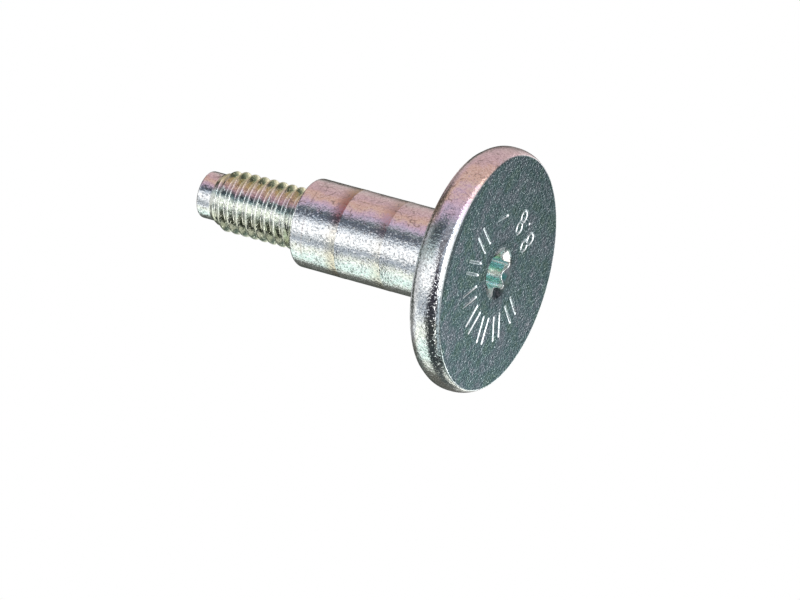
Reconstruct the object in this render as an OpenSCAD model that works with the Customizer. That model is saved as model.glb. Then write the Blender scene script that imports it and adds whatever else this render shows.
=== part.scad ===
// Locating bolt: a cold-formed steel bolt with a wide flat disc head, a long plain
// shoulder that does the locating, a short machine thread and a pilot point.
// It stands on its head: the face lies at height 0 and the axis points up.

/* [Head] */
// Diameter of the head at the fullest part of its barrel-shaped rim
head_d = 23.2; // [18:0.1:30]
// Diameter at which the rim meets the plane of the face
face_d = 22.4; // [16:0.1:29]
// Diameter of the flat underside that clamps
seat_d = 22.1; // [15:0.1:29]
// Thickness of the head
head_t = 3.2; // [2.8:0.1:6]
// Height of the fullest part of the rim above the face
rim_mid = 1.6; // [1:0.1:2.4]
// Rounding of the edge around the face
face_round = 0.25; // [0.1:0.05:0.5]

/* [Shoulder] */
// Diameter of the locating shoulder
shoulder_d = 8.5; // [7.5:0.1:12]
// Length of the shoulder from the underside of the head to its end face
shoulder_len = 16.8; // [8:0.1:40]
// Rounding of the shoulder's free edge
shoulder_round = 0.4; // [0.1:0.05:0.6]
// Fillet between the shoulder and the underside of the head
seat_fillet = 0.3; // [0.1:0.05:0.8]

/* [Thread] */
// Diameter over the thread's crests
crest_d = 5.9; // [5.6:0.05:6.2]
// Diameter at the bottom of the thread's groove
root_d = 4.77; // [4.4:0.01:5]
// Pitch, the distance from one crest to the next
pitch = 1; // [0.75:0.05:1.25]
// Width of the flat along the crest
crest_w = 0.12; // [0.05:0.01:0.2]
// Angle between the two flanks
flank_angle = 60; // [50:1:65]
// Length from the shoulder to the pilot point
thread_len = 9.7; // [6:0.1:20]
// Turn of the thread about the axis
thread_turn = 97; // [0:1:360]
// Diameter of the plain neck beside the shoulder
neck_d = 5.7; // [5.2:0.05:5.8]
// Length of the plain neck
neck_len = 0.45; // [0.4:0.05:1.2]
// Fillet between the neck and the shoulder's end face
neck_fillet = 0.15; // [0.15:0.05:0.4]
// Half angle of the cone that starts the thread
lead_angle = 28; // [20:1:45]

/* [Pilot point] */
// Diameter of the pilot point
pilot_d = 4.5; // [4:0.05:4.7]
// Length of the pilot point
pilot_len = 1.5; // [0.8:0.1:5]
// Rounding of the pilot point's end
pilot_round = 0.25; // [0.1:0.05:0.5]

/* [Six-lobe socket] */
// Width of the socket across opposite lobes
lobe_w = 4.45; // [3.9:0.01:5]
// Width of the socket across opposite inward bumps
waist_w = 3.17; // [2.9:0.01:3.5]
// Radius at the end of each lobe
lobe_r = 0.38; // [0.3:0.01:0.42]
// Depth of the socket's straight walls below the face
socket_depth = 2.4; // [1.5:0.1:2.7]
// Diameter of the cone that leads into the socket, at the face
mouth_d = 5; // [4.6:0.1:6]
// Full angle of the cone that leads into the socket
mouth_angle = 130; // [110:1:140]
// Depth of the shallow cone in the socket's floor
floor_drop = 0.4; // [0.2:0.05:0.8]
// Turn of the socket about the axis
socket_turn = 1; // [0:1:60]

/* [Stamped ring] */
// Radius to the middle of the stamped marks
mark_ring_r = 5.4; // [4:0.1:8]
// Radial length of a mark, which is also a digit's height
mark_h = 2.5; // [1:0.1:3]
// Width of a stroke
stroke_w = 0.25; // [0.15:0.05:0.4]
// Depth of the marks
mark_depth = 0.12; // [0.06:0.01:0.3]
// Number of paired strokes
mark_count = 7; // [3:1:7]
// Angle from one pair of strokes to the next
mark_step = 29; // [24:1:32]
// Angle of the first pair of strokes
mark_start = 123; // [0:1:360]
// Distance between the two strokes of a pair
pair_gap = 1.1; // [0.6:0.05:1.4]
// Angle of the middle of the property class
class_angle = 35; // [0:1:360]
// Angle from the middle of the property class to each digit
class_step = 15; // [12:1:20]
// Angle of the plain dash
dash_angle = 336; // [0:1:360]

/* [Hidden] */

steel = "#b9b7ae";
round_fn = 96;          // sides of the round preview shapes
arc_steps = 6;          // steps in a small rounding
rim_steps = 10;         // steps in each half of the rim
rim_power = 2.5;        // 2 gives an ellipse, more gives a squarer rim
turn_steps = 32;        // sections in one turn of the thread
lobes = 6;              // lobes in the socket
lobe_steps = 5;         // steps in each of the socket's arcs
overlap = 0.1;          // how far the ridge's foot lies inside the core
past = 0.05;            // how far a cut runs past the surface it opens

head_r = head_d / 2;
face_r = face_d / 2;
seat_r = seat_d / 2;
shoulder_r = shoulder_d / 2;
crest_r = crest_d / 2;
root_r = root_d / 2;
neck_r = neck_d / 2;
pilot_r = pilot_d / 2;

shoulder_z = head_t + shoulder_len;
pilot_z = shoulder_z + thread_len;
tip_z = pilot_z + pilot_len;
neck_end_z = shoulder_z + neck_len;

// Height at which the lead cone has a given radius
function cone_z(r) = pilot_z - (r - pilot_r) / tan(lead_angle);
// Radius of the lead cone at a given height
function cone_r(z) = pilot_r + (pilot_z - z) * tan(lead_angle);

// Points on an arc about [x, y], from angle a0 to angle a1
function arc(x, y, r, a0, a1, n = arc_steps) =
    [for (i = [0:n]) let (a = a0 + (a1 - a0) * i / n) [x + r * cos(a), y + r * sin(a)]];

// One half of the rim, from the fullest radius towards an edge that is drop smaller
function rim_point(u, drop) = head_r - drop * pow(u, rim_power);
rim_low = [for (i = [rim_steps - 1:-1:0]) let (u = i / rim_steps)
    [rim_point(u, head_r - face_r), rim_mid - u * (rim_mid - face_round)]];
rim_high = [for (i = [1:rim_steps]) let (u = i / rim_steps)
    [rim_point(u, head_r - seat_r), rim_mid + u * (head_t - rim_mid)]];

// Half section of everything that is round: head, shoulder, core and pilot point
profile = concat(
    [[0, 0]],
    arc(face_r - face_round, face_round, face_round, -90, 0),
    rim_low,
    rim_high,
    arc(shoulder_r + seat_fillet, head_t + seat_fillet, seat_fillet, 270, 180),
    arc(shoulder_r - shoulder_round, shoulder_z - shoulder_round, shoulder_round, 0, 90),
    arc(neck_r + neck_fillet, shoulder_z + neck_fillet, neck_fillet, 270, 180),
    [[neck_r, neck_end_z], [root_r, neck_end_z + neck_r - root_r]],
    [[root_r, cone_z(root_r)], [pilot_r, pilot_z]],
    arc(pilot_r - pilot_round, tip_z - pilot_round, pilot_round, 0, 90),
    [[0, tip_z]]
);

module blank() {
    rotate_extrude($fn = round_fn) polygon(profile);
}

// The helical ridge. Each section is a trapezium whose foot lies inside the core, and
// whose top is cut off by the lead cone, so that the first turns rise out of the cone.
foot_r = root_r - overlap;
flank = tan(flank_angle / 2);
function top_r(z) = max(foot_r + overlap / 2, min(crest_r, cone_r(z)));
function half_w(r) = crest_w / 2 + (crest_r - r) * flank;
ridge_start_z = shoulder_z;
ridge_end_z = pilot_z;
ridge_sections = ceil((ridge_end_z - ridge_start_z) / pitch * turn_steps);

function section(i) =
    let (
        a = thread_turn + i * 360 / turn_steps,
        z = ridge_start_z + i * pitch / turn_steps,
        t = top_r(z),
        lo = z - half_w(t),
        hi = z + half_w(t),
        foot = half_w(foot_r)
    )
    [for (p = [[foot_r, z - foot], [top_r(lo), lo], [top_r(hi), hi], [foot_r, z + foot]])
        [p[0] * cos(a), p[0] * sin(a), p[1]]];

module ridge() {
    corners = len(section(0));
    points = [for (i = [0:ridge_sections]) each section(i)];
    sides = [for (i = [0:ridge_sections - 1], j = [0:corners - 1])
        let (k = (j + 1) % corners, b = i * corners, n = b + corners)
        [b + j, b + k, n + k, n + j]];
    last = ridge_sections * corners;
    polyhedron(points, concat([[3, 2, 1, 0]], sides, [[last, last + 1, last + 2, last + 3]]));
}

// Outline of the six-lobe socket: lobe arcs and bump arcs meet at tangent points
lobe_c = lobe_w / 2 - lobe_r;
half_step = 180 / lobes;
// radius of the inward bumps, so that each just touches the lobes beside it
waist_r = waist_w / 2;
bump_r = (lobe_c * lobe_c + waist_r * waist_r - lobe_r * lobe_r - 2 * lobe_c * waist_r * cos(half_step))
    / (2 * (lobe_r - waist_r + lobe_c * cos(half_step)));
bump_c = waist_r + bump_r;
// direction from a lobe's centre to the centre of the bump beside it
touch = atan2(bump_c * sin(half_step), bump_c * cos(half_step) - lobe_c);

function turned(p, a) = [p[0] * cos(a) - p[1] * sin(a), p[0] * sin(a) + p[1] * cos(a)];
lobe_arc = arc(lobe_c, 0, lobe_r, -touch, touch, lobe_steps);
bump_end = touch + 180 - half_step;
bump_arc = [for (i = [1:lobe_steps - 1])
    let (a = bump_end + (360 - 2 * bump_end) * i / lobe_steps)
    turned([bump_c + bump_r * cos(a), bump_r * sin(a)], half_step)];
socket_outline = [for (k = [0:lobes - 1]) each
    [for (p = concat(lobe_arc, bump_arc)) turned(p, k * 2 * half_step)]];

module socket() {
    mouth_slope = tan(mouth_angle / 2);
    mouth_r = mouth_d / 2;
    rotate(socket_turn) translate([0, 0, -past])
        linear_extrude(socket_depth + past) polygon(socket_outline);
    translate([0, 0, -past])
        cylinder(h = mouth_r / mouth_slope + past, r1 = mouth_r + past * mouth_slope, r2 = 0,
            $fn = round_fn);
    translate([0, 0, socket_depth - past])
        cylinder(h = floor_drop + past, r1 = waist_r, r2 = 0, $fn = round_fn);
}

// Stamped marks, all sunk into the face
module sunk() {
    translate([0, 0, -past]) linear_extrude(mark_depth + past) children();
}

module at_ring(angle) {
    rotate(angle) translate([mark_ring_r, 0]) children();
}

module stroke(long) {
    square([long, stroke_w], center = true);
}

module paired_strokes() {
    for (side = [-1, 1]) translate([0, side * pair_gap / 2]) stroke(mark_h);
}

// The digit 8: two loops, one above the other
module eight() {
    loop_r = (mark_h + stroke_w) / 4;
    for (side = [-1, 1]) translate([side * (loop_r - stroke_w / 2), 0])
        difference() {
            circle(r = loop_r, $fn = 32);
            circle(r = loop_r - stroke_w, $fn = 32);
        }
}

module marks() {
    sunk() {
        for (i = [0:mark_count - 1]) at_ring(mark_start + i * mark_step) paired_strokes();
        for (side = [-1, 1]) at_ring(class_angle + side * class_step) eight();
        at_ring(class_angle) translate([mark_h / 2 - stroke_w, 0]) circle(r = stroke_w / 2, $fn = 16);
        at_ring(dash_angle) rotate(90) stroke(mark_h / 2);
    }
}

module locating_bolt() {
    color(steel) difference() {
        union() {
            blank();
            ridge();
        }
        socket();
        marks();
    }
}

locating_bolt();
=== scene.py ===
# A locating bolt: one piece of cold formed steel with a wide disc head, a six-lobe socket,
# a plain shoulder, a rolled thread and a pilot point, zinc plated and passivated.
import math

import bmesh
import bpy
from mathutils import Matrix, Vector


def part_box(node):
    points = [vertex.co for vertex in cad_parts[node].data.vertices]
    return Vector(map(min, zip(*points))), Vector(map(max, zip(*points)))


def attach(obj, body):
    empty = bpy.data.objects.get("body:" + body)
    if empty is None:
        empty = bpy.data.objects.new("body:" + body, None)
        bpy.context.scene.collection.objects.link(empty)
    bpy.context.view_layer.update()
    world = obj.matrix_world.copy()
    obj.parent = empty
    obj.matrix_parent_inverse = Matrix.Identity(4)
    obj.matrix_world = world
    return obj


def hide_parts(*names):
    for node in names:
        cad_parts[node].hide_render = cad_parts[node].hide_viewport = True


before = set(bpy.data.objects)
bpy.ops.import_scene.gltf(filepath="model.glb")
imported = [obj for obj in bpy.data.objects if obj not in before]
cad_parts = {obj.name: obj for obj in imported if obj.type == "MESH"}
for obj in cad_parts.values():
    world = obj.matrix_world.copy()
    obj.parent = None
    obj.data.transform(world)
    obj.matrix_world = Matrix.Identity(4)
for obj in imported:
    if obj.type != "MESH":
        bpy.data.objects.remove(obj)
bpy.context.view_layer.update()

# The blank. Head, shoulder, neck and pilot point are upset and drawn from one length of
# steel wire, so they share one outline turned about the axis. Sizes are in millimetres,
# and the finished mesh is scaled to metres.
MM = 0.001
cad_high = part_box("locating_bolt")[1]
head_r = cad_high.x / MM
tip_z = cad_high.z / MM
head_t = 3.2
face_r = 11.2
seat_r = 11.05
rim_mid = 1.6
rim_power = 2.5
rim_steps = 12
face_round = 0.25
seat_round = 0.12
shoulder_r = 4.25
shoulder_z = 20.0
shoulder_round = 0.4
seat_fillet = 0.3
neck_r = 2.85
neck_fillet = 0.15
neck_cut_z = 20.3
pilot_r = 2.25
pilot_z = 29.7
pilot_cut_z = 29.75
pilot_foot = 0.1
pilot_round = 0.25
stop_z = (10.23, 15.07)
stop_height = 0.02
stop_run = 1.4
stop_edge = 0.12
stop_lead = 1.5
stop_steps = 8


def arc(r, z, radius, start, end, steps=6):
    """Points on a rounding about the point (r, z), between two angles in degrees."""
    angles = [math.radians(start + (end - start) * i / steps) for i in range(steps + 1)]
    return [(r + radius * math.cos(a), z + radius * math.sin(a)) for a in angles]


def rim_r(share, edge_r):
    """Radius of the barrel-shaped rim, from its fullest part at 0 to its edge at 1."""
    return head_r - (head_r - edge_r) * share**rim_power


rim_shares = [i / rim_steps for i in range(rim_steps + 1)]
rim_lean = math.atan((head_r - face_r) * rim_power / (rim_mid - face_round / 2))
rim_foot_z = face_round * (1 - math.sin(rim_lean))
rim_low = [(rim_r(s, face_r), rim_mid - s * (rim_mid - rim_foot_z)) for s in reversed(rim_shares)]
rim_high = [(rim_r(s, seat_r), rim_mid + s * (head_t - seat_round - rim_mid)) for s in rim_shares]

# the drawing die leaves a low swelling on the shoulder at each place where it stopped
shoulder_rows = []
for z in stop_z:
    shoulder_rows += [(shoulder_r, z - stop_lead), (shoulder_r, z - stop_edge)]
    for share in [i / stop_steps for i in range(stop_steps + 1)]:
        shoulder_rows.append((shoulder_r + stop_height * (1 - share)**2, z + share * stop_run))

face_round_r = face_r - face_round * math.cos(rim_lean)
head_outline = (
    arc(face_round_r, face_round, face_round, -90, -math.degrees(rim_lean))
    + rim_low[1:]
    + rim_high[1:]
    + arc(seat_r - seat_round, head_t - seat_round, seat_round, 0, 90, 4)[1:]
    + arc(shoulder_r + seat_fillet, head_t + seat_fillet, seat_fillet, 270, 180)
    + shoulder_rows
    + arc(shoulder_r - shoulder_round, shoulder_z - shoulder_round, shoulder_round, 0, 90, 8)
    + arc(neck_r + neck_fillet, shoulder_z + neck_fillet, neck_fillet, 270, 180)
    + [(neck_r, neck_cut_z)]
)
pilot_outline = (
    [(pilot_r, pilot_cut_z), (pilot_r, pilot_cut_z + pilot_foot)]
    + arc(pilot_r - pilot_round, tip_z - pilot_round, pilot_round, 0, 90)
    + [(pilot_r * 0.5, tip_z), (0, tip_z)]
)

# The face and the six-lobe socket punched into it. The socket's walls follow lobes and
# inward bumps that meet at tangent points, and a wide cone leads in. They are turned with
# the face, first at the bumps' radius, and then pushed out to the six-lobe outline.
lobes = 6
lobe_outer_r = 2.225
bump_inner_r = 1.585
lobe_r = 0.38
lobe_turn = 1
mouth_r = 2.5
mouth_half_angle = 65
socket_depth = 2.4
floor_drop = 0.4
floor_mid = 0.6
floor_round = 0.1
floor_edge_z = socket_depth - 0.08
corner_round = 0.16
cone_mid_r = 1.985
wall_rows = (0.9, 0.05)
face_rows = (3.2, 4.2, 5.4, 6.6, 8.0, 9.6, 10.35, 10.5, 10.65, 10.8, 10.9)
soft_edge_r = 10.35
soft_edge_drop = 0.09
soft_edge_height = 0.5
soft_edge_angle = math.radians(-78)
soft_edge_spread = (0.8, 0.99)
turn_steps = 240
weld = 0.0005
tiny = 0.001

cone_slope = math.tan(math.radians(mouth_half_angle))
corner_swing = 90 - mouth_half_angle
corner_r = bump_inner_r + corner_round
corner_reach = corner_round * math.tan(math.radians(mouth_half_angle / 2))
corner_z = (mouth_r - bump_inner_r) / cone_slope + corner_reach
cone_start_r = corner_r - corner_round * math.sin(math.radians(corner_swing))

socket_outline = (
    [(0, socket_depth + floor_drop)]
    + [(bump_inner_r * floor_mid, socket_depth + floor_drop * (1 - floor_mid))]
    + arc(bump_inner_r - floor_round, floor_edge_z, floor_round, 90, 0, 4)
    + [(bump_inner_r, corner_z + row) for row in wall_rows]
    + arc(corner_r, corner_z, corner_round, 180, 270 - corner_swing, 5)
    + [(cone_mid_r, (mouth_r - cone_mid_r) / cone_slope), (mouth_r, 0)]
    + [(r, 0) for r in face_rows]
)

bolt_mesh = bmesh.new()


def outline_in(mesh, points, matrix=Matrix.Identity(4)):
    """Adds a half section, given as (radius, height) points, and returns its geometry."""
    verts = [mesh.verts.new(matrix @ Vector((r, 0, z))) for r, z in points]
    edges = [mesh.edges.new(pair) for pair in zip(verts, verts[1:])]
    return verts + edges


up = Vector((0, 0, 1))
origin = Vector((0, 0, 0))
blank = outline_in(bolt_mesh, socket_outline + head_outline) + outline_in(bolt_mesh, pilot_outline)
bmesh.ops.spin(bolt_mesh, geom=blank, cent=origin, axis=up, angle=math.tau,
               steps=turn_steps, use_merge=True)
bmesh.ops.remove_doubles(bolt_mesh, verts=bolt_mesh.verts, dist=weld)


def outline_r(angle):
    """Radius of the socket's wall in one direction, in degrees from a lobe's middle."""
    half_step = math.radians(180 / lobes)
    lobe_c = lobe_outer_r - lobe_r
    span = (lobe_c**2 + bump_inner_r**2 - lobe_r**2
            - 2 * lobe_c * bump_inner_r * math.cos(half_step))
    bump_r = span / (2 * (lobe_r - bump_inner_r + lobe_c * math.cos(half_step)))
    bump_c = bump_inner_r + bump_r
    touch = math.atan2(bump_c * math.sin(half_step), bump_c * math.cos(half_step) - lobe_c)
    touch_turn = math.atan2(lobe_r * math.sin(touch), lobe_c + lobe_r * math.cos(touch))
    turn = abs((math.radians(angle) + half_step) % (2 * half_step) - half_step)
    if turn < touch_turn:
        return lobe_c * math.cos(turn) + math.sqrt(lobe_r**2 - (lobe_c * math.sin(turn))**2)
    turn = half_step - turn
    return bump_c * math.cos(turn) - math.sqrt(bump_r**2 - (bump_c * math.sin(turn))**2)


for vert in bolt_mesh.verts:
    r = vert.co.xy.length
    z = vert.co.z
    if z > head_t or r >= mouth_r or r < tiny:
        continue
    push = outline_r(math.degrees(math.atan2(vert.co.y, vert.co.x)) - lobe_turn) - bump_inner_r
    if z > floor_edge_z - tiny:
        out = min(1, r / bump_inner_r)
        lift = 0
    elif z > corner_z:
        out = 1
        lift = (socket_depth - z) / (socket_depth - corner_z)
    else:
        out = min(1, (mouth_r - r) / (mouth_r - cone_start_r))
        lift = out
    vert.co.xy *= (r + push * out) / r
    vert.co.z -= push / cone_slope * min(1, lift)


def smooth(value, low, high):
    """Rises from 0 at low to 1 at high with no corner at either end."""
    share = min(1, max(0, (value - low) / (high - low)))
    return share * share * (3 - 2 * share)


# the header's die wears unevenly, which leaves the face's edge softer on one side
soft_side = Vector((math.cos(soft_edge_angle), math.sin(soft_edge_angle)))
for vert in bolt_mesh.verts:
    r = vert.co.xy.length
    z = vert.co.z
    if z < soft_edge_height and r > soft_edge_r:
        outwards = min(1, (r - soft_edge_r) / (face_r - soft_edge_r))
        share = smooth(vert.co.xy.normalized().dot(soft_side), *soft_edge_spread)
        vert.co.z += soft_edge_drop * share * outwards**2 * (1 - smooth(z, 0, soft_edge_height))

# The thread, rolled between flat dies, so it has round crests and roots. One pitch of it
# is drawn from root to root and wound up the bolt. It runs out into the neck beside the
# shoulder, and a cone cuts its first turns down to the pilot point.
pitch = 1.0
crest_r = 2.95
root_r = 2.385
crest_width = 0.12
flank_angle = 30
thread_turn = 97
thread_steps = 120
thread_turns = 12
lead_angle = 28
run_out = 0.8
run_out_start = 0.1
cut_snap = 0.0001

flank_sin = math.sin(math.radians(flank_angle))
flank_cos = math.cos(math.radians(flank_angle))
crest_round = flank_cos * crest_width / 2 / (1 - flank_sin)
root_gap = (pitch - crest_width) / 2
root_round = (flank_cos * root_gap - flank_sin * (crest_r - root_r)) / (1 - flank_sin)
half_thread = (
    arc(crest_r - crest_round, 0, crest_round, 0, 90 - flank_angle, 5)
    + arc(root_r + root_round, pitch / 2, root_round, 270 - flank_angle, 180, 6)
)
thread_outline = [(r, -z) for r, z in reversed(half_thread)] + half_thread[1:]


def all_of(mesh):
    return mesh.verts[:] + mesh.edges[:] + mesh.faces[:]


start = Matrix.Rotation(math.radians(thread_turn), 4, "Z") @ Matrix.Translation(
    (0, 0, shoulder_z - pitch))
thread_mesh = bmesh.new()
thread = outline_in(thread_mesh, thread_outline, start)
bmesh.ops.spin(thread_mesh, geom=thread, cent=origin, axis=up, angle=math.tau,
               steps=thread_steps, dvec=up * pitch / thread_steps)
one_turn = all_of(thread_mesh)
for turn in range(1, thread_turns):
    copied = bmesh.ops.duplicate(thread_mesh, geom=one_turn)["geom"]
    copied_verts = [part for part in copied if isinstance(part, bmesh.types.BMVert)]
    bmesh.ops.translate(thread_mesh, verts=copied_verts, vec=up * pitch * turn)
bmesh.ops.remove_doubles(thread_mesh, verts=thread_mesh.verts, dist=weld)

for vert in thread_mesh.verts:
    r = vert.co.xy.length
    z = vert.co.z
    lead_r = pilot_r + max(0, pilot_z - z) * math.tan(math.radians(lead_angle))
    full = smooth(z, neck_cut_z + run_out_start, neck_cut_z + run_out)
    vert.co.xy *= (neck_r + (min(r, lead_r) - neck_r) * full) / r

for height, outwards in ((neck_cut_z, 1), (pilot_cut_z, -1)):
    bmesh.ops.bisect_plane(thread_mesh, geom=all_of(thread_mesh), dist=cut_snap,
                           plane_co=up * height, plane_no=up * outwards, clear_inner=True)
thread_part = bpy.data.meshes.new("thread")
thread_mesh.to_mesh(thread_part)
thread_mesh.free()
bolt_mesh.from_mesh(thread_part)
bpy.data.meshes.remove(thread_part)


def ring_at(mesh, height):
    """The open edges that lie at one height."""
    return [e for e in mesh.edges
            if e.is_boundary and all(abs(v.co.z - height) < tiny for v in e.verts)]


for height in (neck_cut_z, pilot_cut_z):
    bmesh.ops.bridge_loops(bolt_mesh, edges=ring_at(bolt_mesh, height))
bmesh.ops.remove_doubles(bolt_mesh, verts=bolt_mesh.verts, dist=weld)
bmesh.ops.recalc_face_normals(bolt_mesh, faces=bolt_mesh.faces)


def object_from(mesh, name):
    """Makes an object of a finished bmesh and frees it."""
    data = bpy.data.meshes.new(name)
    mesh.to_mesh(data)
    mesh.free()
    made = bpy.data.objects.new(name, data)
    bpy.context.scene.collection.objects.link(made)
    return made


bolt = object_from(bolt_mesh, "bolt")

# The stamped ring. The header's punch strikes the property class and plain strokes into
# the face, so each is a shallow groove with a rounded lip and sloping sides. The grooves
# are cut from the blank before it is plated.
mark_ring_r = 5.45
mark_height = 2.6
mark_half_width = 0.12
mark_floor_half = 0.04
mark_depth = 0.13
mark_lip = 0.07
pair_count = 7
pair_start = 123
pair_step = 29
pair_gap = 1.1
class_angle = 35
class_step = 15
dot_r = 6.3
dot_length = 0.264
dash_angle = 336
dash_length = 1.95
pit_steps = 18
loop_steps = 36
loop_squash = 0.85
crease_angle = math.radians(32)
face_normal_z = -0.9999

loop_r = mark_height / 4 - mark_half_width / 2
groove_side = [
    (mark_half_width + mark_lip, -mark_depth),
    (mark_half_width + mark_lip, 0),
    (mark_half_width + mark_lip * 0.4, mark_depth * 0.06),
    (mark_half_width, mark_depth * 0.25),
    (mark_floor_half + 0.04, mark_depth * 0.85),
    (mark_floor_half, mark_depth),
]


def at_ring(angle, radius=mark_ring_r):
    return Matrix.Rotation(math.radians(angle), 4, "Z") @ Matrix.Translation((radius, 0, 0))


def spun_into(mesh, points, closed, steps, reshape, matrix):
    """Spins a section into a closed cutter, reshapes it and adds it to a mesh of cutters."""
    part = bmesh.new()
    section = outline_in(part, points)
    if closed:
        section.append(part.edges.new((section[len(points) - 1], section[0])))
    bmesh.ops.spin(part, geom=section, cent=origin, axis=up, angle=math.tau, steps=steps,
                   use_merge=True)
    bmesh.ops.remove_doubles(part, verts=part.verts, dist=weld)
    reshape(part)
    bmesh.ops.transform(part, verts=part.verts, matrix=matrix)
    bmesh.ops.recalc_face_normals(part, faces=part.faces)
    data = bpy.data.meshes.new("groove")
    part.to_mesh(data)
    part.free()
    mesh.from_mesh(data)
    bpy.data.meshes.remove(data)


def stroke(mesh, length, matrix):
    """A straight groove along X: a round pit whose two halves are drawn apart."""
    def draw_apart(part):
        half_step = Matrix.Rotation(math.pi / pit_steps, 4, "Z")
        bmesh.ops.transform(part, verts=part.verts, matrix=half_step)
        for vert in part.verts:
            if vert.co.xy.length > tiny:
                vert.co.x += math.copysign(length / 2 - mark_half_width, vert.co.x)
    ends = [(0, -mark_depth)] + groove_side + [(0, mark_depth)]
    spun_into(mesh, ends, False, pit_steps, draw_apart, matrix)


def loop(mesh, matrix):
    """A ring-shaped groove, one half of a figure eight."""
    def squash(part):
        bmesh.ops.scale(part, vec=(1, loop_squash, 1), verts=part.verts)
    outside = [(loop_r + reach, depth) for reach, depth in groove_side]
    inside = [(loop_r - reach, depth) for reach, depth in reversed(groove_side)]
    spun_into(mesh, outside + inside, True, loop_steps, squash, matrix)


def cut(body, mesh):
    """Sinks the grooves in a bmesh into an object."""
    cutter = object_from(mesh, "grooves")
    modifier = body.modifiers.new("grooves", "BOOLEAN")
    modifier.operation = "DIFFERENCE"
    modifier.solver = "MANIFOLD"
    modifier.object = cutter
    depsgraph = bpy.context.evaluated_depsgraph_get()
    data = bpy.data.meshes.new_from_object(body.evaluated_get(depsgraph))
    body.modifiers.remove(modifier)
    body.data = data
    bpy.data.objects.remove(cutter)


outer_grooves = bmesh.new()
inner_grooves = bmesh.new()
for i in range(pair_count):
    for side in (-1, 1):
        stroke(outer_grooves, mark_height,
               at_ring(pair_start + i * pair_step) @ Matrix.Translation((0, side * pair_gap / 2, 0)))
for side in (-1, 1):
    loop(outer_grooves, at_ring(class_angle + side * class_step, mark_ring_r + loop_r))
    loop(inner_grooves, at_ring(class_angle + side * class_step, mark_ring_r - loop_r))
stroke(outer_grooves, dot_length, at_ring(class_angle, dot_r))
stroke(outer_grooves, dash_length, at_ring(dash_angle) @ Matrix.Rotation(math.pi / 2, 4, "Z"))
cut(bolt, outer_grooves)
cut(bolt, inner_grooves)

finished_mesh = bmesh.new()
finished_mesh.from_mesh(bolt.data)
bmesh.ops.scale(finished_mesh, vec=(MM, MM, MM), verts=finished_mesh.verts)
for part in finished_mesh.faces:
    part.smooth = True
    part.material_index = 0
for edge in finished_mesh.edges:
    flat = [part.normal.z < face_normal_z for part in edge.link_faces]
    edge.smooth = edge.calc_face_angle(0) < crease_angle and flat[0] == flat[-1]
finished_mesh.to_mesh(bolt.data)
finished_mesh.free()

# The finish. The whole bolt is zinc plated and passivated, which leaves a thin film. Round the
# bolt its colour shifts from a pale green through silver, lilac and pink: partly the film, partly
# painted reflection, over the fine grain of the plating and small knocks from the barrel.
between_stops = (11, 15)
stop_tint = 0.45
second_stop_tint = 0.3
die_ring_z = 18.5
seam_angle = -44.7
scratch_angles = (58, 75, 128, 20)
# where across the lead-in cone the painted dark spot lies
dark_spot_x = -0.15
knap_depth = 0.022
dent_depth = 0.02
pip_depth = 0.014
underside_pip_depth = 0.008
scuff_depth = 0.023
die_brown = (0.36, 0.26, 0.24)
# a painted shade colour for a band on the rim
rim_shade_green = (0.36, 0.44, 0.40)
pit_brown = (0.30, 0.26, 0.24)
hair_brown = (0.25, 0.18, 0.16)
scratch_silver = (0.82, 0.88, 0.90)
groove_silver = (0.86, 0.92, 0.94)
socket_silver = (0.97, 0.99, 0.99)
# a painted highlight colour for a patch on the lead-in cone
glint_white = (1.00, 0.98, 0.90)
# a painted shade colour for a spot on the lead-in cone
dark_spot_green = (0.04, 0.17, 0.17)
# a painted shade colour for part of the face's edge
edge_shade_blue = (0.12, 0.16, 0.18)


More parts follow.
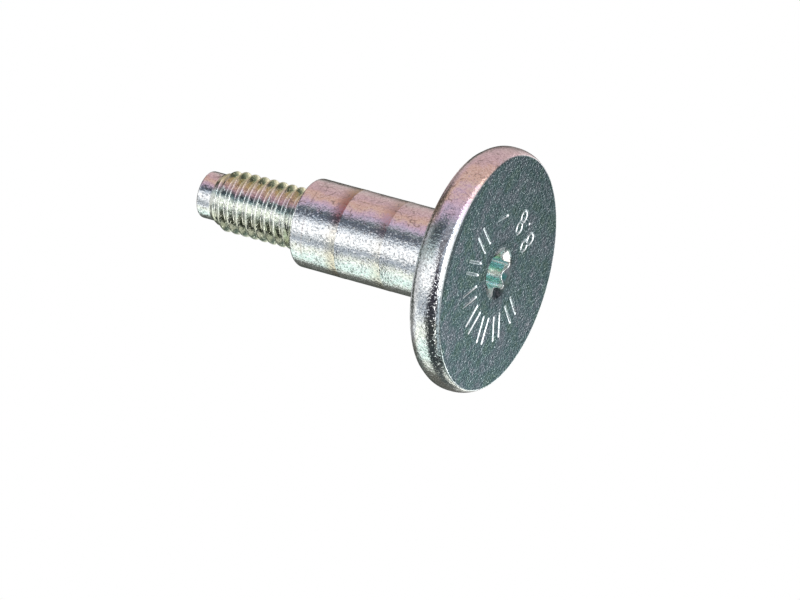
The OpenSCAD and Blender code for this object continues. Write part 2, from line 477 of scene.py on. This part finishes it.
class Value:
    """A number, colour or vector in a shader. Python's arithmetic on it adds Math nodes."""

    def __init__(self, tree, socket=None):
        self.tree = tree
        self.socket = socket

    def node(self, kind, settings=None, inputs=None, output=0):
        """Adds a node, sets it, then feeds its inputs, and returns one of its outputs."""
        made = self.tree.nodes.new(kind)
        for name, value in (settings or {}).items():
            if name == "stops":
                ramp = made.color_ramp.elements
                while len(ramp) < len(value):
                    ramp.new(1)
                for element, (position, colour) in zip(ramp, value):
                    element.position = position
                    element.color = (*colour, 1)
            else:
                setattr(made, name, value)
        for name, value in (inputs or {}).items():
            if isinstance(value, Value):
                self.tree.links.new(value.socket, made.inputs[name])
            else:
                made.inputs[name].default_value = value
        return Value(self.tree, made.outputs[output])

    def output(self, name):
        return Value(self.tree, self.socket.node.outputs[name])

    def math(self, operation, *values):
        return self.node("ShaderNodeMath", {"operation": operation}, dict(enumerate(values)))

    def root(self):
        return self.math("SQRT", self)

    def rises(self, low, high):
        """0 below low and 1 above high, with a smooth step between."""
        limits = {"Value": self, "From Min": low, "From Max": high}
        return self.node("ShaderNodeMapRange", {"interpolation_type": "SMOOTHSTEP"}, limits)

    def falls(self, low, high):
        """1 below low and 0 above high."""
        return 1 - self.rises(low, high)

    def between(self, start, full, fading, end):
        """Rises from start to full, and falls from fading to end."""
        return self.rises(start, full) * self.falls(fading, end)

    def ramp(self, *stops):
        return self.node("ShaderNodeValToRGB", {"stops": stops}, {0: self})

    def stretched(self, across, along):
        """A place whose patterns repeat this often across and along the axis."""
        return self.node("ShaderNodeVectorMath", {"operation": "MULTIPLY"},
                         {0: self, 1: (across, across, along)})

    def combed(self, degrees, across, along):
        """The same for patterns drawn out along the face, at an angle from +X."""
        turn = (0, 0, -math.radians(degrees))
        turned = self.node("ShaderNodeMapping", {}, {"Vector": self, "Rotation": turn})
        return turned.node("ShaderNodeVectorMath", {"operation": "MULTIPLY"},
                           {0: turned, 1: (along, across, across)})

    def scaled(self, factor):
        """This colour or vector times a number."""
        return self.node("ShaderNodeVectorMath", {"operation": "SCALE"}, {0: self, "Scale": factor})

    def noise(self, scale, detail, roughness=0.5):
        """Noise with about this many swells per millimetre, from 0 to 1."""
        inputs = {"Vector": self, "Scale": scale, "Detail": detail, "Roughness": roughness}
        return self.node("ShaderNodeTexNoise", {}, inputs)

    def mix(self, first, second):
        """Mixes two colours, with this value as the share of the second."""
        first = first if isinstance(first, Value) else (*first, 1)
        second = second if isinstance(second, Value) else (*second, 1)
        inputs = {0: self, 6: first, 7: second}
        return self.node("ShaderNodeMix", {"data_type": "RGBA"}, inputs, output=2)

    def __add__(self, other):
        return self.math("ADD", self, other)

    __radd__ = __add__

    def __sub__(self, other):
        return self.math("SUBTRACT", self, other)

    def __rsub__(self, other):
        return self.math("SUBTRACT", other, self)

    def __mul__(self, other):
        return self.math("MULTIPLY", self, other)

    __rmul__ = __mul__

    def __truediv__(self, other):
        return self.math("DIVIDE", self, other)

    def __rtruediv__(self, other):
        return self.math("DIVIDE", other, self)

    def __abs__(self):
        return self.math("ABSOLUTE", self)


zinc = bpy.data.materials.new("zinc_steel")
zinc.use_nodes = True
shader = zinc.node_tree.nodes["Principled BSDF"]
metres = Value(zinc.node_tree).node("ShaderNodeTexCoord", output="Object")
place = metres.scaled(1 / MM)
x = place.node("ShaderNodeSeparateXYZ", {}, {0: place})
y = x.output("Y")
z = x.output("Z")
radius = (x * x + y * y).root()
side = x / radius
azimuth = y.math("ARCTAN2", y, x) * (180 / math.pi)

# where each surface lies
in_head = z.falls(head_t, head_t + 0.2)
in_socket = in_head * radius.falls(mouth_r - 0.03, mouth_r + 0.01)
in_flutes = in_socket * (z - (mouth_r - radius) / cone_slope).rises(0.005, 0.03)
on_cone = in_socket - in_flutes
on_face = z.falls(0.2, 0.3) * radius.falls(face_r - 0.2, face_r) * (1 - in_socket)
off_plane = on_face * z.rises(0.004, 0.02)
towards_soft_side = (x * soft_side.x + y * soft_side.y) / radius
soft_edge = towards_soft_side.rises(0.8, 0.97) * z.rises(0.01, 0.03)
soft_edge = soft_edge * radius.rises(soft_edge_r + 0.2, soft_edge_r + 0.45)
on_thread = z.between(shoulder_z - 0.05, shoulder_z + 0.05, pilot_z - 0.1, pilot_z + 0.1)
underside = side.falls(-0.1, 0.35) * (1 - on_thread)

# the film and painted reflection, from the side that faces -X at 0 to the side that faces +X at 1
drift = place.noise(0.12, 2.0) - 0.5
blotches = place.noise(0.8, 3.0, 0.6) - 0.5
grain = place.noise(5.5, 3.0, 0.7) - 0.5
streaks = place.stretched(1.0, 0.06).noise(2.2, 3.0, 0.6) - 0.5
film_and_reflection = 0.5 + side * 0.5 + drift * 0.16 + blotches * 0.14 + grain * 0.12 + streaks * 0.06
film_and_reflection = film_and_reflection - in_head * side.rises(0.35, 1.0) * 0.09 + in_head * z.rises(1.8, 3.0) * 0.12
colour = film_and_reflection.ramp(
    (0.00, (0.72, 0.74, 0.66)),
    (0.05, (0.82, 0.90, 0.82)),
    (0.10, (0.74, 0.93, 0.87)),
    (0.15, (0.80, 0.94, 0.90)),
    (0.21, (0.93, 0.95, 0.85)),
    (0.27, (0.80, 0.83, 0.90)),
    (0.33, (0.88, 0.90, 0.91)),
    (0.54, (0.84, 0.87, 0.92)),
    (0.62, (0.66, 0.73, 0.84)),
    (0.68, (0.80, 0.68, 0.90)),
    (0.73, (0.90, 0.67, 0.82)),
    (0.79, (1.00, 0.68, 0.57)),
    (0.83, (0.95, 0.65, 0.58)),
    (0.88, (0.84, 0.60, 0.64)),
    (0.94, (0.90, 0.66, 0.66)),
    (0.98, (0.84, 0.72, 0.70)),
    (1.00, (0.72, 0.64, 0.60)),
)

# the drawing die's marks: a brown stain at each stop, a thin ring and a seam
ragged = z + blotches * 1.4 + grain * 0.9
stop_marks = 0
for stop in stop_z:
    stop_mark = z.rises(stop - 0.05, stop + 0.03) * ragged.falls(stop + 0.2, stop + 1.7)
    stop_marks = stop_marks + stop_mark
stain = (side * 0.5 + 0.5).ramp(
    (0.00, (0.45, 0.38, 0.26)),
    (0.12, (0.74, 0.64, 0.46)),
    (0.30, (0.80, 0.74, 0.60)),
    (0.50, (0.90, 0.86, 0.78)),
    (0.60, (0.40, 0.16, 0.20)),
    (0.80, (0.36, 0.12, 0.10)),
    (0.95, (0.48, 0.32, 0.18)),
)
stained = stop_tint + z.rises(*between_stops) * second_stop_tint + grain * 2.0 + blotches * 0.8
colour = (stop_marks * stained).mix(colour, stain)
seam = abs(azimuth - seam_angle + drift * 6).falls(0.3, 0.9) * z.between(10.4, 10.8, 14.4, 15.0)
die_ring = z.between(die_ring_z, die_ring_z + 0.08, die_ring_z + 0.12, die_ring_z + 0.25)
colour = (die_ring * (0.35 + blotches) + seam * 0.4).mix(colour, die_brown)

# the colours on the thread are yellower: the film lies thicker there, and part is painted reflection
thread_film_and_reflection = (film_and_reflection + blotches * 0.2).ramp(
    (0.00, (0.50, 0.54, 0.40)),
    (0.15, (0.66, 0.68, 0.54)),
    (0.30, (0.88, 0.92, 0.82)),
    (0.50, (0.90, 0.94, 0.88)),
    (0.60, (0.52, 0.64, 0.64)),
    (0.70, (0.80, 0.65, 0.72)),
    (0.80, (0.84, 0.70, 0.60)),
    (0.92, (0.76, 0.67, 0.43)),
    (1.00, (0.58, 0.54, 0.33)),
)
colour = on_thread.mix(colour, thread_film_and_reflection)

# painted shade: a dark green band on the rim's upper part where it faces +Y and -Y; then grain, pits
# and hair lines all over
rim_shade_band = in_head * side.between(-0.2, 0.05, 0.2, 0.3) * z.rises(1.0, 1.6)
colour = (rim_shade_band * 0.7).mix(colour, rim_shade_green)
colour = colour.scaled(1 + grain * (1.6 + underside * 1.4))
colour = (grain.falls(-0.22, -0.06) * 0.45).mix(colour, pit_brown)
hair_field = place.stretched(1.0, 0.7).noise(1.0, 1.0) - 0.5
hairs = abs(hair_field).falls(0.008, 0.028) * blotches.rises(-0.02, 0.1)
colour = (hairs * (0.25 + side.rises(0.0, 0.4) * 0.4)).mix(colour, hair_brown)

# the face is greyer and darker beside the socket, with painted shade that falls gently towards +X
# and +Y and halves it in the socket, and it is scratched in four directions
face_grain = place.combed(90, 1.0, 0.5).noise(4.5, 2.0, 0.7) - 0.5
patches = (place.noise(0.4, 4.0, 0.65) * 3.4 - 1.2 + face_grain * 0.3).ramp(
    (0.15, (0.36, 0.50, 0.44)),
    (0.40, (0.36, 0.50, 0.51)),
    (0.60, (0.42, 0.51, 0.55)),
    (0.85, (0.56, 0.57, 0.64)),
)
# painted shade: darker towards +X and +Y and halved in the socket, over the face's grain
shade = 0.75 + radius.rises(2.6, 3.8) * 0.25 - x * 0.026 - y * 0.012 + face_grain * 1.3
shade = shade * (1 - in_socket * 0.5)
colour = (on_face * (1 - soft_edge * 0.8) + in_socket).mix(colour, patches.scaled(shade))
scuffs = 0
for way in scratch_angles:
    strand = place.combed(way, 1.0, 0.06).noise(0.9, 0.0) - 0.5
    worn = place.combed(way, 0.35, 0.2).noise(1.0, 1.0).rises(0.48, 0.62)
    scratch = abs(strand).falls(0.008, 0.032) * worn * on_face
    colour = (scratch * 0.4).mix(colour, scratch_silver)
    scuffs = scuffs + place.combed(way, 1.0, 0.16).noise(5.0, 1.0, 0.6) - 0.5
colour = off_plane.mix(colour, groove_silver)

# painted reflections: bright and dark stripes on the socket's wall on the side that faces -Y
reflection_stripes = x * 0.25 + 0.5 + (place.stretched(1.0, 0.3).noise(2.5, 3.0, 0.7) - 0.5) * 0.2
painted_stripes = reflection_stripes.ramp(
    (0.08, (1.00, 1.00, 0.96)),
    (0.15, (0.74, 0.92, 0.96)),
    (0.18, (0.36, 0.64, 0.50)),
    (0.23, (0.95, 1.00, 1.00)),
    (0.26, (0.44, 0.84, 0.88)),
    (0.30, (0.80, 1.00, 1.00)),
    (0.35, (0.66, 0.92, 1.00)),
    (0.41, (0.64, 0.84, 0.90)),
    (0.48, (1.00, 0.99, 0.90)),
    (0.53, (0.84, 0.93, 0.80)),
    (0.58, (0.60, 0.94, 0.80)),
    (0.66, (0.42, 0.88, 1.00)),
    (0.74, (0.28, 0.60, 0.58)),
    (0.79, (1.00, 1.00, 1.00)),
    (0.86, (0.50, 0.62, 0.44)),
)
colour = in_flutes.mix(colour, socket_silver)
colour = (in_flutes * y.rises(0, 0.5) * z.rises(0.56, 0.66)).mix(colour, painted_stripes)
# painted highlight: a pale patch on the lead-in cone; painted dark reflection: a dark green spot on
# the cone by the bump that faces +Y
painted_glint = on_cone * x.rises(0.9, 1.3) * y.rises(0.4, 0.8) * radius.falls(2.25, 2.4)
colour = painted_glint.mix(colour, glint_white)
painted_dark_spot = on_cone * abs(x - dark_spot_x).falls(0.0, 0.55) * y.rises(1.2, 1.4) * radius.falls(2.0, 2.3)
colour = (painted_dark_spot * (0.9 + grain * 2)).mix(colour, dark_spot_green)

# painted shade: the face's edge is coloured dark blue along part of its length
painted_dark_edge = in_head * z.falls(0.25, 0.35) * (1 - on_face) * (1 - in_socket)
painted_dark_edge = painted_dark_edge * side.between(-0.9, -0.7, -0.4, -0.1)
colour = (painted_dark_edge * 0.9).mix(colour, edge_shade_blue)

# the plating's relief, finest first, and how dull it is
knap = place.noise(6.0, 1.0, 0.5) - 0.5
pips = place.noise(4.6, 1.0, 0.5).rises(0.58, 0.78)
dents = place.noise(1.3, 1.0) - 0.5
relief = (knap * knap_depth + dents * dent_depth) * (1 - on_thread * 0.6) * (1 - on_face * 0.5)
relief = relief + pips * (pip_depth + underside * (1 - on_face) * underside_pip_depth)
relief = relief + scuffs * (on_face - off_plane) * scuff_depth
bump = {"Strength": 1.0, "Distance": MM, "Height": relief}
normal = relief.node("ShaderNodeBump", {}, bump, "Normal")
rough_lobe = 0.12 + x.falls(-1.9, -1.3) * 0.3
rough = 0.1 + on_face * 0.08 + in_flutes * rough_lobe + blotches * 0.06

shader.inputs["Metallic"].default_value = 1.0
for name, value in {"Base Color": colour, "Roughness": rough, "Normal": normal}.items():
    zinc.node_tree.links.new(value.socket, shader.inputs[name])
bolt.data.materials.clear()
bolt.data.materials.append(zinc)

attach(bolt, "root")
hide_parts("locating_bolt")

# The studio. White paper all round, seen as white, with soft boxes and dark cards that
# show only in the metal. The pale floor lies far enough below for the camera to look up
# at the face from under the bolt.
studio_floor_z = -0.6
studio_floor_half = 0.5
paper_white = (0.9, 0.9, 0.9)
camera_forward = -0.902
camera_height = -0.432
mint_card = (1.05, 1.08, 1.05)
grey_card = (0.48, 0.52, 0.55)
dark_card = (0.13, 0.14, 0.165)
rose_card = (0.60, 0.565, 0.565)
olive_card = (0.15, 0.15, 0.145)
black_card = (0.08, 0.09, 0.08)
blue_card = (0.38, 0.42, 0.48)
soft_box = (1.2, 1.2, 1.2)
table = (1.0, 1.0, 1.0)
sunlit_table = (2.0, 2.0, 2.0)
strip_light = (0.8, 0.8, 0.8)
lamp_light = (3.4, 3.4, 3.4)
far_lamp_light = (2.4, 2.4, 2.4)
halo_light = (0.7, 0.7, 0.66)
seen_white = (1, 1, 1)

floor_mesh = bmesh.new()
bmesh.ops.create_grid(floor_mesh, x_segments=1, y_segments=1, size=studio_floor_half)
bmesh.ops.translate(floor_mesh, verts=floor_mesh.verts, vec=(0, 0, studio_floor_z))
floor = object_from(floor_mesh, "floor")
paper = bpy.data.materials.new("paper")
paper.use_nodes = True
paper_shader = paper.node_tree.nodes["Principled BSDF"]
paper_shader.inputs["Base Color"].default_value = (*paper_white, 1)
paper_shader.inputs["Roughness"].default_value = 0.8
floor.data.materials.append(paper)
floor.visible_glossy = False

world = bpy.data.worlds.new("studio")
bpy.context.scene.world = world
world.use_nodes = True
direction = Value(world.node_tree).node("ShaderNodeTexCoord", output="Generated")
across = direction.node("ShaderNodeSeparateXYZ", {}, {0: direction})
forward = across.output("Y")
height = across.output("Z")
heading = forward.math("ARCTAN2", forward, across) / math.tau + 0.5


def at_heading(degrees):
    return degrees / 360 + 0.5


# cards and soft boxes stand round the bolt, at headings from +X
walls = heading.ramp(
    (at_heading(-153), mint_card),
    (at_heading(-150), grey_card),
    (at_heading(-127), grey_card),
    (at_heading(-121), soft_box),
    (at_heading(-97), soft_box),
    (at_heading(-84), (0.58, 0.63, 0.68)),
    (at_heading(-74), dark_card),
    (at_heading(-64), dark_card),
    (at_heading(-56), (0.2, 0.22, 0.2)),
    (at_heading(-48), rose_card),
    (at_heading(48), rose_card),
    (at_heading(74), (0.24, 0.23, 0.22)),
    (at_heading(96), olive_card),
    (at_heading(146), olive_card),
    (at_heading(154), mint_card),
)
skirting = heading.ramp(
    (at_heading(-150), (0.05, 0.055, 0.06)),
    (at_heading(-110), (0.04, 0.035, 0.055)),
    (at_heading(-70), (0.30, 0.29, 0.30)),
    (at_heading(-50), rose_card),
    (at_heading(80), rose_card),
    (at_heading(100), (0.11, 0.11, 0.10)),
    (at_heading(140), (0.12, 0.14, 0.15)),
    (at_heading(165), (0.05, 0.055, 0.06)),
)
wall_foot = heading.ramp(
    (at_heading(-153), (0.40, 0.40, 0.40)),
    (at_heading(-130), (0.32, 0.32, 0.32)),
    (at_heading(-120), (0.10, 0.10, 0.10)),
    (at_heading(-98), (0.10, 0.10, 0.10)),
    (at_heading(-84), (0.24, 0.24, 0.24)),
    (at_heading(140), (0.32, 0.32, 0.32)),
    (at_heading(156), (0.40, 0.40, 0.40)),
)

# the face sees one card low down behind the bolt, darker towards its foot
face_card = (height + 0.9).ramp(
    (0.15, (0.35, 0.38, 0.38)),
    (0.22, (0.045, 0.06, 0.062)),
    (0.40, (0.10, 0.128, 0.137)),
    (0.47, (0.138, 0.18, 0.189)),
    (0.58, (0.27, 0.34, 0.345)),
    (0.75, (0.50, 0.59, 0.60)),
)
room = (forward.rises(0.3, 0.6) * height.falls(-0.2, -0.05)).mix(skirting, face_card)
room = (height + 0.1 - wall_foot).rises(-0.06, 0.06).mix(room, walls)

# the ceiling, the black cards that draw the bolt's outline, and the table below
ceiling = across.rises(0.15, 0.45).mix((0.7, 0.7, 0.7), (0.14, 0.16, 0.14))
room = height.rises(0.72, 0.92).mix(room, ceiling)
room = (height.rises(0.8, 0.9) * forward.rises(-0.02, 0.12)).mix(room, black_card)
towards_camera = forward * camera_forward + height * camera_height
room = ((-1 * towards_camera).rises(0.84, 0.94) * height.rises(0.38, 0.46)).mix(room, black_card)
room = towards_camera.rises(0.95, 0.99).mix(room, blue_card)
room = height.rises(-0.92, -0.86).mix(table, room)

# a strip light behind, sunlit paper on the table in front, and lamps that glint in the metal
aside = abs(across)
strip = height.between(-0.32, -0.24, 0.2, 0.28) * forward.rises(0.75, 0.85)
room = (strip * aside.between(0.15, 0.3, 0.44, 0.54)).mix(room, strip_light)
table_edge = height - forward * 0.35 - forward * forward * 0.1 - across.falls(-0.95, -0.6) * 0.08
near_paper = height.rises(-0.88, -0.84) * table_edge.falls(-0.42, -0.30)
near_paper = near_paper * (1 - forward.rises(0.02, 0.12) * height.falls(-0.16, -0.1))
near_paper = near_paper * (1 - across.rises(-0.1, 0.5) * 0.5)
room = near_paper.mix(room, sunlit_table)
lamp = height.between(-0.88, -0.84, -0.66, -0.6) * forward.falls(-0.5, -0.4)
room = lamp.mix(room, lamp_light)
far_lamp = height.between(-0.82, -0.75, -0.5, -0.42) * across.between(-0.55, -0.48, -0.36, -0.3)
room = (far_lamp * forward.rises(0.3, 0.4)).mix(room, far_lamp_light)
halo = height.between(-0.82, -0.75, -0.55, -0.48) * across.falls(-0.56, -0.5)
room = (halo * forward.rises(0.3, 0.4)).mix(room, halo_light)

seen = direction.node("ShaderNodeLightPath", output="Is Camera Ray")
light = seen.mix(room, seen_white)
world.node_tree.links.new(light.socket, world.node_tree.nodes["Background"].inputs["Color"])
bpy.context.scene.view_settings.view_transform = "Standard"

# The camera. A long lens looks at the head's face from a little below it, with the bolt
# lying along the picture and its first lobe upwards.
image_width = 800
image_height = 600
focal_px = 6518.6
axis_px = Vector((467.992, 264.684))
camera_distance = 600.0
tilt = math.radians(64.424)
roll = math.radians(15.495)

right = Vector((math.sin(roll), math.cos(tilt) * math.cos(roll), -math.sin(tilt) * math.cos(roll)))
above = Vector((math.cos(roll), -math.cos(tilt) * math.sin(roll), math.sin(tilt) * math.sin(roll)))
back = Vector((0, -math.sin(tilt), -math.cos(tilt)))
shift_right = (axis_px.x + 0.5 - image_width / 2) / focal_px * camera_distance
shift_down = (axis_px.y + 0.5 - image_height / 2) / focal_px * camera_distance
stand = up * head_t - right * shift_right + above * shift_down + back * camera_distance

lens = bpy.data.cameras.new("camera")
lens.sensor_width = 36
lens.lens = focal_px * lens.sensor_width / image_width
lens.clip_start = 0.01
lens.clip_end = 10
camera = bpy.data.objects.new("camera", lens)
turn = Matrix((right, above, back)).transposed().to_4x4()
camera.matrix_world = Matrix.Translation(stand * MM) @ turn
bpy.context.scene.collection.objects.link(camera)
bpy.context.scene.camera = camera
